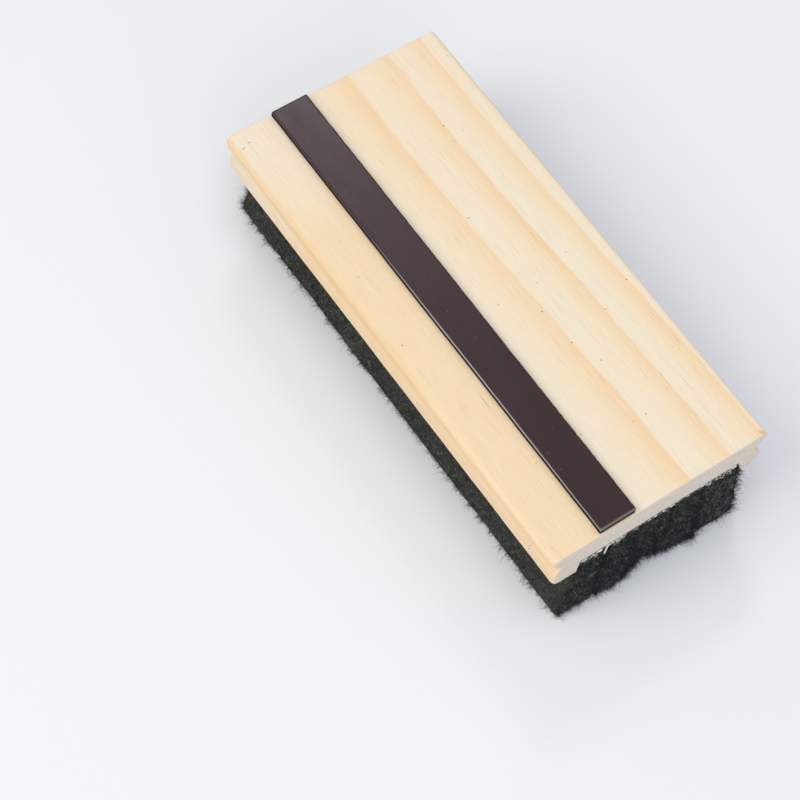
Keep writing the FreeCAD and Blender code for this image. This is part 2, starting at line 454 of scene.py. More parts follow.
# Marks on the top in millimetres: (middle, half width, half length, turn in radians)
SCRATCHES = [
    ((-61.1, -25.8), 0.26, 0.6, -1.18),
    ((-60.4, -27.7), 0.30, 0.7, -1.2),
    ((-36.0, 15.2), 0.14, 0.8, 0.1),
]
BRUISES = [
    ((64.1, 28.6), 0.7, 1.1, 0.4),
    ((40.0, 18.6), 0.14, 1.5, -0.5),
    ((44.2, 17.2), 0.12, 1.1, -0.3),
]


def pine_finish():
    """Flat-sawn pine. Growth rings are circles about a pith far below the board, so on
    the top they are wide bands that darken towards one sharp edge. Grain lines, resin
    streaks and pin specks run along X; the sawn ends are greyer and pitted."""
    pine = Finish("planed_pine", Specular_IOR_Level=0.35)
    place, (x, y, z) = pine.millimetres()
    slow = pine.noise(place, (0.018, 0.05, 0.05), roughness=0.45)
    quick = pine.noise(place, (0.05, 0.35, 0.35), (7, 3, 1))
    across = y - x.rise(-32.0, 62.0) * RING_LEAN
    across = across + (slow - 0.5) * SLOW_WANDER + (quick - 0.5) * QUICK_WANDER
    depth = z - TOP / MM + PITH_DEPTH
    out = (across + PITH_SIDE) * (across + PITH_SIDE) + depth * depth
    phase = (out - PITH_DEPTH**2 - RING_START) / RING_AREA + RINGS_INSIDE
    season = phase.fraction()
    face = pine.ramp(season, [
        (0.00, 242, 220, 190),
        (0.03, 241, 224, 197),
        (0.18, 241, 226, 202),
        (0.34, 241, 224, 198),
        (0.58, 242, 221, 190),
        (0.74, 242, 216, 181),
        (0.86, 242, 211, 171),
        (0.95, 242, 208, 166),
        (0.975, 242, 208, 167),
        (1.00, 242, 220, 190),
    ])
    faint = pine.noise(place, (0.025, 0.09, 0.09), (2, 6, 9), detail=1.0)
    face = pine.mix(faint.rise(0.40, 0.62) * 0.22, face, EVEN_WOOD)
    face = pine.mix(x.rise(0.0, -60.0) * 0.14, face, FAR_WOOD)
    # The board's -Y side lies in one wide ring, warm but for its paler far end
    blotch = pine.noise(place, (0.05, 0.16, 0.16), (1, 9, 4), detail=3.0, roughness=0.55)
    low_y = y.rise(-9.0, -13.0)
    face = pine.mix(low_y * (x + blotch * 24.0).rise(-50.0, -18.0) * 0.88, face, WARM_RING)
    face = pine.mix(low_y * (x + blotch * 30.0).rise(-14.0, -42.0) * 0.7, face, PALE_RING)
    fine = pine.noise(place, (0.11, 2.6, 2.6), detail=3.0, roughness=0.66)
    medium = pine.noise(place, (0.04, 0.8, 0.8), (3, 5, 2))
    grain = (fine - 0.5) + (medium - 0.5) * 0.16
    face = pine.mix(grain.rise(0.0, 0.34) * 0.36, face, GRAIN_LINE)
    face = pine.mix(grain.rise(0.0, -0.34) * 0.44, face, PALE_LINE)
    rub = pine.noise(place, (0.5, 1.6, 1.6), (2, 2, 2), detail=3.0, roughness=0.6)
    face = pine.mix((rub - 0.5).size().rise(0.05, 0.35) * 0.16, face, RUBBED_WOOD)
    # Short resin streaks, mostly on the -Y side, and a scatter of pin specks
    streak = pine.noise(place, (0.10, 3.6, 3.6), (11, 0, 6), detail=1.0).rise(0.64, 0.75)
    patches = pine.noise(place, (0.03, 0.10, 0.10), (5, 2, 8), detail=1.0).rise(0.50, 0.66)
    face = pine.mix(streak * patches * (0.42 + low_y * 0.3), face, RESIN_STREAK)
    specks = pine.specks(place, 0.30, (0.090, 0.030), (0.70, 0.74))
    face = pine.mix(specks * 0.75, face, PIN_SPECK)
    # The worn lip on the -Y side is resinous, more so towards the far end
    lip_side = (y + (quick - 0.5) * 0.6).rise(-28.4, -29.4)
    lip = lip_side * (z - TOP / MM + LIP_HEIGHT / MM).rise(-0.2, 0.5)
    face = pine.mix(lip * (x + blotch * 30.0).rise(66.0, 6.0) * 0.80, face, RESINOUS_LIP)
    # Soft-edged oval marks on the top, each turned about its centre
    kinds = [(SCRATCHES, 0.0, 0.5, SCRATCH_DIRT), (BRUISES, 0.3, 0.55, BRUISED_WOOD)]
    for marks, sunk, share, tone in kinds:
        for centre, across_size, along_size, turn in marks:
            sockets = {"Vector": place, "Rotation": (0, 0, turn)}
            sockets["Location"] = (*centre, TOP / MM - sunk)
            sockets["Scale"] = (along_size, across_size, 1.0)
            local = pine.add("Mapping", {"vector_type": "TEXTURE"}, sockets)
            length = pine.add("VectorMath", {"operation": "LENGTH"}, {0: local}, "Value")
            oval = (length + (rub - 0.5) * 1.6).rise(1.0, 0.3)
            face = pine.mix(oval * share, face, tone)
    # Sawn ends
    end_share = pine.share_of("end_grain")
    end = pine.ramp(season, [
        (0.00, 245, 230, 216),
        (0.62, 243, 226, 211),
        (0.92, 238, 220, 204),
        (1.00, 245, 230, 216),
    ])
    pores = pine.noise(place, (2.0, 3.4, 3.4), detail=3.0, roughness=0.7)
    saw = pine.noise(place, (1.0, 2.4, 0.5))
    end = pine.mix((pores - 0.5).rise(0.0, 0.20) * 0.75, end, OPEN_PORE)
    end = pine.mix((pores - 0.5).rise(0.0, -0.20) * 0.85, end, TORN_FIBRE)
    end = pine.mix((saw - 0.5).rise(0.02, 0.25) * 0.35, end, SAW_MARK)
    end = pine.mix((TOP / MM - z).rise(4.5, 9.0) * 0.45, end, END_FOOT)
    pine.feed("Base Color", pine.mix(end_share, face, end))
    pine.feed("Roughness", (0.62 - (season - 0.5).size() * 0.10) + end_share * 0.25)
    height = (fine - 0.5) * (1 - end_share) + (pores + saw - 1.0) * end_share * 2.5
    pine.bump(height, 0.06 * MM)
    return pine.material


def board_outline():
    """The moulding's section as seen from +X, from the top's -Y arris round by the
    -Y side, the underside and the +Y side. Each corner is (y, z, radius)."""
    lip_foot = TOP - LIP_HEIGHT
    tongue_top = RIM + TONGUE_HEIGHT
    groove_middle = (lip_foot + tongue_top) / 2
    groove_heights = (groove_middle + GROOVE_FLOOR / 2, groove_middle - GROOVE_FLOOR / 2)
    hair = 0.15 * MM

    def side(sign, tongue):
        """Corners of one long side, top to bottom, sign -1 for -Y and 1 for +Y."""
        wall = sign * (HALF_WIDTH - GROOVE_DEPTH)
        corners = [
            (sign * HALF_WIDTH, TOP, TOP_ROUND),
            (sign * HALF_WIDTH, TOP - LIP_BAND, hair),
            (sign * (HALF_WIDTH - LIP_LEAN), lip_foot, 2 * hair),
        ]
        corners += [(wall, height, GROOVE_ROUND) for height in groove_heights]
        corners += [(tongue, tongue_top, TONGUE_ROUND), (tongue, RIM, TONGUE_ROUND)]
        return corners

    left = side(-1, -HALF_WIDTH + TONGUE_INSET + TONGUE_SHIFT)
    right_side = side(1, HALF_WIDTH - TONGUE_INSET + TONGUE_SHIFT)
    recess = [
        (-HALF_WIDTH + WIDE_RIM, RIM, 2 * hair),
        (-HALF_WIDTH + WIDE_RIM + STEEP_DRAFT, CEILING, hair),
        (HALF_WIDTH - NARROW_RIM - WIDE_DRAFT, CEILING, hair),
        (HALF_WIDTH - NARROW_RIM, RIM, 2 * hair),
    ]
    return rounded(left + recess + right_side[::-1], OUTLINE_STEP)


def board_spine(outline):
    """Middle line of the end face: level, half way between the top and the recess."""
    reach = HALF_WIDTH - SPINE_STOP
    level = np.full(len(outline), (TOP + CEILING) / 2)
    return np.stack([np.clip(outline[:, 0], -reach, reach), level], axis=1)


def make_board(finish):
    """Bar along X, then worn by hand: the arrises waver, the sawn ends are uneven and
    nibbled at their edges, each by a smooth random field."""
    stations = crowded(-HALF_LENGTH + SAWN_EASE, HALF_LENGTH - SAWN_EASE, 1.0 * MM, 0.3 * MM)
    points, quads, on_end = bar(board_outline(), stations, board_spine, SAWN_EASE, CAP_RINGS)
    ragged = waves(points, 1.1 * MM, 11) * 0.5 + waves(points, 3.5 * MM, 12) * 0.5
    nibble = np.clip(waves(points, 2.2 * MM, 13) - 1.1, 0, 1.2)
    pull = RAGGED_DEPTH * np.abs(ragged) + NIBBLE_DEPTH * nibble
    points[:, 0] -= np.sign(points[:, 0]) * on_end * pull * MM
    from_end = HALF_LENGTH - np.abs(points[:, 0])
    near_end = np.clip(1 - from_end / (ARRIS_REACH * MM), 0, 1) * (1 - on_end)
    upper = np.sign(points[:, 2] - (TOP + RIM) / 2)
    points[:, 2] -= upper * near_end * ARRIS_WEAR * MM * np.abs(ragged)
    low_share = np.where(points[:, 2] > TOP - LIP_HEIGHT - 0.3 * MM, 1.0, 0.4)
    for (end, flank), corner in CORNER_WEAR.items():
        out_x = np.clip(end * points[:, 0] - (HALF_LENGTH - corner), 0, corner) / corner
        worn = corner * worn_back(out_x) * low_share
        points[:, 1] -= flank * worn * (np.sign(points[:, 1]) == flank)
    sway = waves(points * (1, 0.2, 0.2), 18 * MM, 14) * 0.05 * MM
    points[:, 1] -= np.sign(points[:, 1]) * np.abs(sway)
    piece = new_piece("board_pine", points, [quads], finish, sharp=np.radians(50))
    set_share(piece, "end_grain", on_end)
    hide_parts("board")


make_board(pine_finish())

# ---------- magnet strip
# Flexible ferrite rubber, slit from a wide sheet, so its faces are satin and its cut
# sides a little wavy. Painted shade, nearly black, lies low on the cut sides, and a
# thin pale painted highlight runs along the upper arris.
# It is held by double-sided tape, which shows only as a line under it.
MAGNET_LOW, MAGNET_HIGH = (np.array(corner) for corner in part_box("magnet_strip"))
MAGNET_ROUND = 0.22 * MM
MAGNET_EASE = 0.1 * MM
CLIPPED_CORNER = 0.65 * MM
# How bright the painted highlight on the upper arris is along the -Y edge, at places
# along X in millimetres
HIGHLIGHT_PLACES = (-26, 4, 34, 64)
HIGHLIGHT_SHARES = (0.06, 0.95, 0.9, 0.55)
RUBBER_DARK = shade(52, 35, 38)
RUBBER_LIGHT = shade(62, 44, 47)
# Painted shade, nearly black, for the lower cut sides and the far arris
RUBBER_SIDE_SHADE = shade(6, 4, 4)
# Painted highlight on the upper arris, where it catches the light
RUBBER_HIGHLIGHT = shade(204, 197, 199)
RUBBER_DUST = shade(176, 164, 164)
TAPE_EDGE = shade(18, 14, 13)
TAPE_DUST = shade(58, 49, 43)


def magnet_finish():
    """Satin dark rubber with a warm cast and a few grains of white dust. A pale painted
    highlight runs along the upper arrises, and painted shade, nearly black, lies low on
    the cut sides and along the far arris."""
    rubber = Finish("magnet_rubber", Specular_IOR_Level=0.30)
    place, _ = rubber.millimetres()
    burr = rubber.share_of("burr")
    low_side = rubber.share_of("low_side")
    cloud = rubber.noise(place, (0.04, 0.16, 0.16), detail=3.0, roughness=0.55)
    base = rubber.mix(cloud, RUBBER_DARK, RUBBER_LIGHT)
    # Painted shade low on the cut sides and ends and along the far arris
    base = rubber.mix(low_side * 0.96, base, RUBBER_SIDE_SHADE)
    # Painted highlight along the upper arris
    base = rubber.mix(burr * 0.9, base, RUBBER_HIGHLIGHT)
    dust = rubber.specks(place, 0.46, (0.065, 0.035), (0.50, 0.80))
    rubber.feed("Base Color", rubber.mix(dust * 0.5, base, RUBBER_DUST))
    scuff = rubber.noise(place, (0.08, 0.16, 0.16), (4, 4, 4), detail=3.0, roughness=0.6)
    rubber.feed("Roughness", 0.20 + scuff * 0.16 + burr * 0.2 + low_side * 0.6)
    rubber.bump(rubber.noise(place, (3.0, 3.0, 3.0)), 0.010 * MM)
    return rubber.material


def tape_finish():
    """Cut edge of the tape: dark adhesive that has picked up dust in places."""
    tape = Finish("tape_edge", Specular_IOR_Level=0.4)
    place, _ = tape.millimetres()
    dust = tape.noise(place, (0.9, 0.9, 4.0), detail=3.0, roughness=0.6)
    tape.feed("Base Color", tape.mix(dust.rise(0.45, 0.75), TAPE_EDGE, TAPE_DUST))
    tape.feed("Roughness", 0.35 + dust * 0.3)
    return tape.material


def make_magnet(finish):
    """Bar along X with rounded arrises. A slow wave bows the slit edges sideways, a
    quick one nicks them, and the +Y edge, cut last, is the rougher."""
    low, high = MAGNET_LOW, MAGNET_HIGH
    corners = [
        (low[1], high[2], MAGNET_ROUND),
        (low[1], low[2], MAGNET_ROUND / 2),
        (high[1], low[2], MAGNET_ROUND / 2),
        (high[1], high[2], MAGNET_ROUND),
    ]
    middle = (low + high) / 2

    def spine(outline):
        """Middle line of the end face, as long as the strip is wide less its thickness."""
        reach = (high[1] - low[1]) / 2 - (high[2] - low[2]) / 2
        across = np.clip(outline[:, 0] - middle[1], -reach, reach) + middle[1]
        return np.stack([across, np.full(len(outline), middle[2])], axis=1)

    stations = crowded(low[0] + MAGNET_EASE, high[0] - MAGNET_EASE, 0.8 * MM, 0.25 * MM)
    points, quads, on_end = bar(rounded(corners, 0.35 * MM), stations, spine, MAGNET_EASE, 3)
    side = (points[:, 1] - middle[1]) / (high[1] - middle[1])
    along = points * (1, 0, 0)
    bow = waves(along, 60 * MM, 21) * 0.06 + waves(along, 9 * MM, 22) * 0.03
    nick = np.abs(waves(along, 1.6 * MM, 23)) * np.clip(side, 0, 1) ** 4 * 0.08
    points[:, 1] -= (side**3 * np.abs(bow) + nick) * MM
    out_x = np.clip(points[:, 0] - (high[0] - CLIPPED_CORNER), 0, CLIPPED_CORNER) / CLIPPED_CORNER
    points[:, 1] -= CLIPPED_CORNER * worn_back(out_x) * np.clip(side, 0, 1) ** 3
    piece = new_piece("magnet_rubber_strip", points, [quads], finish, sharp=np.radians(60))
    down = (high[2] - points[:, 2]) / MM
    cut = np.maximum(np.clip((np.abs(side) - 0.955) / 0.03, 0, 1), on_end)
    # Painted highlight along the upper arris of the cut sides, strongest on the -Y side, and along the
    # near end's top arris
    highlight_along = np.interp(points[:, 0] / MM, HIGHLIGHT_PLACES, HIGHLIGHT_SHARES)
    highlight_share = np.where(on_end > 0, 0.0, np.where(side < 0, highlight_along, 0.1))
    to_end = (high[0] - points[:, 0]) / MM
    near_arris_highlight = np.clip((0.60 - to_end) / 0.2, 0, 1) * (down < 0.25) * 0.24
    # Painted shade along the far end's top arris, and low on the cut sides and ends
    far_arris_shade = (points[:, 0] - low[0] < 0.3 * MM) * 0.9
    burr = cut * highlight_share * np.clip((0.27 - down) / 0.12, 0, 1)
    set_share(piece, "burr", np.maximum(burr, near_arris_highlight))
    set_share(piece, "low_side", np.maximum(cut * np.clip((down - 0.25) / 0.12, 0, 1), far_arris_shade))
    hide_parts("magnet_strip")


def refinish(name, material):
    """Gives a CAD node that stays in sight its own material."""
    bpy.data.objects[name].data.materials.clear()
    bpy.data.objects[name].data.materials.append(material)


make_magnet(magnet_finish())
refinish("magnet_tape", tape_finish())

# ---------- felt sole
# Five strips of thick needled felt stand on edge, glued side by side in the recess.
# Each is one soft closed body: square-cut ends with softened corners, leaning out
# to its foot, and covered in loose curled fibres.
STRIPS = [f"felt_strip_{number}" for number in range(1, 6)]
FELT_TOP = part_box("felt_strip_1")[1][2]
STRIP_GAP = 0.1 * MM
FELT_SPLAY = 2.2 * MM
FELT_STEP = 0.52 * MM
FOOT_ROUND = 0.8 * MM
MOUTH = RIM
NEAR_CORNER = 0.9 * MM
FAR_CORNER = 1.9 * MM
# How far the feet stand out past the board, in millimetres: each strip's at the -X end,
# and a line of (place along Y, reach) at the +X end; above, the strips draw back again
FAR_FEET = (0.9, 1.2, 0.7, 1.0, 1.4)
NEAR_FEET = [
    (-24.5, 0.4), (-22, 0.6), (-10, 0.75), (-6, 0.35), (-4, -0.1), (-2, -1.0), (0, -1.4),
    (2, -1.1), (4, -0.5), (6, 0.2), (8, 0.5), (12, 0.8), (13.6, 1.1), (14.8, 0.5), (16, 0.5),
    (18, 0.8), (22.5, 1.15), (24.5, 0.95), (26.2, 0.6), (27.6, -0.3),
]
SETBACK = 0.45 * MM
# How dark the painted shade in the joint between each strip and the next is, and how
# much paler the felt of each strip is than the blackest, partly its own tone and partly
# painted shade on the -Y strips
CREASE_SHADES = (1.0, 0.35, 0.6, 0.35)
# Each strip's paleness is partly its own tone and partly painted shade: the -Y strips are kept darkest
STRIP_TONE_AND_SHADE = (0.0, 0.55, 1.0, 0.8, 0.9)
CREASE_REACH = 1.1 * MM
SHADED_TOP = 1.0 * MM
# The last strip fills the recess's sloping wall and bulges below its rim: heights, widths
BULGE_HEIGHTS = (0.0, 20.4 * MM, MOUTH, CEILING)
BULGE_WIDTHS = (1.6 * MM, 2.5 * MM, 1.5 * MM, -0.2 * MM)
# Painted shade for the hollows of the felt's bump
FELT_HOLLOW_SHADE = shade(4, 5, 5)
FELT_BLACK = shade(26, 26, 25)
FELT_PALER = shade(66, 68, 66)
FELT_OUTER = shade(76, 78, 74)
# Painted shade for the joints between strips and under the board's edge
FELT_CREASE_SHADE = shade(5, 5, 5)
# Curled light lines: surfaced fibres, partly painted highlight
FINE_CURL = shade(138, 141, 137)
OTHER_CURL = shade(158, 161, 156)
STRAY_CURL = shade(168, 170, 165)


def felt_finish():
    """Needled felt: near black, darker in the hollows of its bump as painted shade, with
    curled light lines where fibres surface, partly their own paler colour and partly
    painted highlight where they catch the light. The lines are where a swirled noise
    passes its middle, cut short by a second noise."""
    felt = Finish("black_felt", Roughness=1.0, Specular_IOR_Level=0.05)
    place, _ = felt.millimetres()

    def curls(turns, shift, width, swirl, kept):
        """Share of curled lines that are so wide and swirled, where the breaks keep them."""
        swirled = felt.noise(place, turns, shift, detail=0.0, swirl=swirl)
        breaks = felt.noise(place, turns, (shift[1], shift[2], shift[0]), detail=0.0, scale=1.3)
        return (swirled - 0.5).size().rise(width, 0.0) * breaks.rise(kept, kept + 0.12)

    fine = curls((3.0, 3.0, 2.2), (5, 9, 2), 0.095, 1.2, 0.42)
    other = curls((2.2, 2.2, 1.6), (8, 1, 7), 0.080, 1.6, 0.45)
    stray = curls((0.7, 0.7, 0.7), (3, 6, 1), 0.035, 2.2, 0.56)
    depth = felt.noise(place, (2.3, 2.3, 2.3), roughness=0.6)
    patch = felt.noise(place, (0.07, 0.07, 0.07))
    # Painted shade: darker where the bump sinks
    base = felt.mix(depth.rise(0.35, 0.65), FELT_HOLLOW_SHADE, FELT_BLACK)
    # Per-strip paleness; the darker -Y strips carry painted shade
    base = felt.mix(felt.share_of("paler") * 0.40, base, FELT_PALER)
    # Curled light lines, partly painted highlight on surfaced fibres
    base = felt.mix(fine * 0.85, base, FINE_CURL)
    base = felt.mix(other * patch.rise(0.25, 0.60) * 0.85, base, OTHER_CURL)
    base = felt.mix(stray * 0.9, base, STRAY_CURL)
    base = felt.mix(felt.share_of("outer_face") * (0.35 + depth * 0.4), base, FELT_OUTER)
    # Painted shade in the joints between strips and along the top, under the board's edge
    base = felt.mix(felt.share_of("crease") * (0.3 + depth), base, FELT_CREASE_SHADE)
    felt.feed("Base Color", base)
    felt.bump(depth * 0.8 + fine * 0.35 + other * 0.35, 0.22 * MM)
    return felt.material


def strip_surface(name, index):
    """Closed body of one strip as rings round an upright axis. The path of the rings
    goes from the top's middle line out to its edge, down the side, round the foot's
    arris and in to the foot's middle line. Each ring is a rectangle with rounded
    corners, whose half sizes, middle and corner radius are worked out at its height."""
    low, high = (np.array(corner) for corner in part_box(name))
    half_length = (high[0] - low[0]) / 2
    middle_x = (high[0] + low[0]) / 2
    last = len(STRIPS) - 1
    recess_width = 2 * HALF_WIDTH - WIDE_RIM - NARROW_RIM - STEEP_DRAFT - WIDE_DRAFT
    recess_middle = (WIDE_RIM + STEEP_DRAFT - NARROW_RIM - WIDE_DRAFT) / 2
    pitch = (recess_width - 0.3 * MM + STRIP_GAP) / len(STRIPS)
    from_middle = index - last / 2
    half_width = (pitch - STRIP_GAP) / 2
    rings = int(half_width / FELT_STEP)
    down = np.arange(0, FELT_TOP - FOOT_ROUND, FELT_STEP)
    turn_steps = np.linspace(0, np.pi / 2, 4)
    path_in = np.concatenate([
        np.linspace(half_width, 0, rings, endpoint=False),
        np.zeros(len(down)),
        FOOT_ROUND * (1 - np.cos(turn_steps)),
        np.linspace(FOOT_ROUND, half_width, rings + 1)[1:],
    ])[:, None]
    path_z = np.concatenate([
        np.full(rings, FELT_TOP),
        FELT_TOP - down,
        FOOT_ROUND * (1 - np.sin(turn_steps)),
        np.zeros(rings),
    ])[:, None]
    foot_share = np.clip((MOUTH - path_z) / MOUTH, 0, 1)
    spread = foot_share**1.3
    shift = from_middle * 2 * FELT_SPLAY / last * foot_share
    wide = half_width + FELT_SPLAY / last * foot_share
    shrink = 1 - path_in / half_width
    bulge = np.interp(path_z, BULGE_HEIGHTS, BULGE_WIDTHS) * (index == last)

    # One ring, as shares of its half sizes: even steps round the rectangle from +X
    quarter_round = half_length + half_width
    half_round = 2 * quarter_round
    count = 4 * int(quarter_round / FELT_STEP)
    walked = quarter_round * 4 * np.arange(count) / count
    quarter = np.minimum(walked % half_round, -walked % half_round)
    side_x = np.where((walked < quarter_round) | (walked > 3 * quarter_round), 1.0, -1.0)
    side_y = np.where(walked < half_round, 1.0, -1.0)
    unit_x = np.clip((quarter_round - quarter) / half_length, 0, 1) * side_x
    unit_y = np.clip(quarter / half_width, 0, 1) * side_y

    foot_y = recess_middle + from_middle * pitch + shift[-1] + unit_y * wide[-1]
    near_places, near_reaches = np.array(NEAR_FEET).T * MM
    feet = np.where(unit_x > 0, np.interp(foot_y, near_places, near_reaches), FAR_FEET[index] * MM)
    stand_out = feet * spread - SETBACK * (1 - spread)
    reach = HALF_LENGTH + stand_out - middle_x * side_x
    corner = np.where(unit_x > 0, NEAR_CORNER, FAR_CORNER)
    flat_x = np.abs(unit_x) * reach
    flat_y = np.abs(unit_y) * wide
    over_x = np.clip(flat_x - (reach - corner), 0, None)
    over_y = np.clip(flat_y - (wide - corner), 0, None)
    pull = np.maximum(over_x, over_y) / np.maximum(np.hypot(over_x, over_y), 1e-9) - 1
    flat_x += over_x * pull
    flat_y += over_y * pull
    x = middle_x + side_x * flat_x * np.clip(1 - path_in / reach, 0, 1)
    off_middle = side_y * flat_y * shrink
    y = recess_middle + from_middle * pitch + shift + off_middle
    y += bulge * np.clip(unit_y, 0, 1) * shrink
    z = np.repeat(path_z, count, axis=1)
    # Painted shade: darkest along the top, under the board's edge, and in the joints beside the next
    # strips
    crease = np.maximum(0, 1.4 - (FELT_TOP - z) / SHADED_TOP)
    if index < last:
        crease = np.maximum(crease, (1 - (wide - off_middle) / CREASE_REACH) * CREASE_SHADES[index])
    if index > 0:
        crease = np.maximum(crease, (1 - (wide + off_middle) / CREASE_REACH) * CREASE_SHADES[index - 1])
    return np.stack([x, y, z, crease], axis=-1)


def closed_rings(points):
    """Quads between the rings. The first and last ring lie flat on a middle line, so
    each of their points is one with its mirror across that line."""
    rows, count = points.shape[:2]
    index = np.arange(rows * count).reshape(rows, count)
    partner = np.minimum(np.arange(count), (-np.arange(count)) % count)
    index[0] = index[0][partner]
    index[-1] = index[-1][partner]
    after = np.roll(index, -1, axis=1)
    quads = np.stack([index[:-1], index[1:], after[1:], after[:-1]], axis=-1).reshape(-1, 4)
    used, packed = np.unique(quads, return_inverse=True)
    return points.reshape(rows * count, -1)[used], packed.reshape(-1, 4)


def read_back(items, field, width):
    """One array of a mesh collection's numbers, so many to a row."""
    values = np.empty(len(items) * width, dtype=np.float32)
    items.foreach_get(field, values)
    return values.reshape(-1, width).astype(float).squeeze()


def make_strip(name, index, finish):
    """The strip's rings, pushed out and in along their normals by random fields: slow
    lumps and the short tufts of a cut edge. The foot's underside only lifts."""
    measured, quads = closed_rings(strip_surface(name, index))
    places = measured[:, :3]
    piece = new_piece(f"felt_body_{index + 1}", places, [quads], finish)
    normals = read_back(piece.data.vertex_normals, "vector", 3)
    below = np.clip((MOUTH + 3 * MM - places[:, 2]) / (4 * MM), 0.15, 1)
    lump = waves(places, 16 * MM, 40 + index) * 0.14 + waves(places, 5.0 * MM, 50 + index) * 0.08
    tuft = waves(places, 1.9 * MM, 60 + index) * 0.05 + waves(places, 1.0 * MM, 70 + index) * 0.05
    facing_down = np.clip(-normals[:, 2] * 1.3, 0, 1)
    pushed = (lump + tuft) * below * (1 - facing_down) * MM
    lifted = (np.abs(lump) * 0.5 + np.abs(tuft) * 1.2) * MM * facing_down
    moved = places + normals * pushed[:, None]
    moved[:, 2] = np.maximum(moved[:, 2] + lifted, 0.0)
    piece.data.vertices.foreach_set("co", moved.astype(np.float32).ravel())
    piece.data.update()
    outwards = -1 if index == 0 else 1
    outermost = index in (0, len(STRIPS) - 1)
    set_share(piece, "outer_face", np.clip(normals[:, 1] * outwards, 0, 1) * outermost)
    set_share(piece, "crease", measured[:, 3])
    set_share(piece, "paler", np.full(len(places), STRIP_TONE_AND_SHADE[index]))
    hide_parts(name)
    return piece


felt_black = felt_finish()
felt_bodies = [make_strip(name, index, felt_black) for index, name in enumerate(STRIPS)]

# ---------- loose fibres
# Each strip's cut faces shed a fuzz of short curled fibres: some stand up along the
# arrises, most lie down. Grey ones are mixed in, and a few are pale lint.
FIBRE_RADIUS = 0.032 * MM
FLOOR_CLEARANCE = 0.06 * MM
# How many fibres each strip sheds; the -Y strips show fewer grey ones
DARK_COUNT = 6000
FRINGE_COUNT = 4200
GREY_COUNTS = (3000, 4200, 5800, 5800, 6200)
LINT_COUNT = 90
# Each kind's usual length in millimetres, and how readily it stands up
DARK_KIND = {"lengths": 0.85, "standing": 0.8}
FRINGE_KIND = {"lengths": 1.45, "standing": 3.0, "fringe": 1.0, "radius": 0.030 * MM}
GREY_KIND = {"lengths": 0.66, "standing": 0.35, "radius": 0.034 * MM}
LINT_KIND = {"lengths": 1.1, "standing": 0.25}
# How open to the air a face is, where an outer side counts 1
OPEN_INSIDE = 0.02
OPEN_END = 2.6
OPEN_FOOT = 0.35
# How much more the fringe's fibres crowd to the low arrises and to the ends' arrises
LOW_CROWD = 13
END_CROWD = 5


def round_ring(first, second, sides):
    """Points evenly round a circle of radius 1, for each pair of its two directions."""
    angles = np.arange(sides) * 2 * np.pi / sides
    return np.cos(angles)[:, None] * first[:, None] + np.sin(angles)[:, None] * second[:, None]


def fibre_tubes(roots, ways, sideways, lengths, radius):
    """Closed three-sided tubes, one for each root. A fibre leaves along its way and
    curls to its sideways: point = root + length * (t * way + curl(t) * sideways),
    with curl(t) = t squared. It tapers to one point at its tip."""
    share = np.array([0.0, 0.42, 0.78, 1.0])
    line = roots[:, None] + lengths[:, None, None] * (
        share[:, None] * ways[:, None] + share[:, None] ** 2 * sideways[:, None]
    )
    line[:, 1:, 2] = np.maximum(line[:, 1:, 2], FLOOR_CLEARANCE)
    first = np.cross(ways, sideways + 1e-6)
    first /= np.linalg.norm(first, axis=1, keepdims=True) + 1e-12
    second = np.cross(ways, first)
    ring = round_ring(first, second, 3)
    thick = radius * np.array([1.0, 0.95, 0.7])
    rings = line[:, :3, None] + thick[:, None, None] * ring[:, None]
    points = np.concatenate([rings.reshape(len(roots), 9, 3), line[:, 3:]], axis=1)
    caps = [[6, 7, 9], [7, 8, 9], [8, 6, 9], [2, 1, 0]]
    start = (np.arange(len(roots)) * 10)[:, None, None]
    quads = (start + ring_quads(3, 3)).reshape(-1, 4)
    return points.reshape(-1, 3), [quads, (start + caps).reshape(-1, 3)]


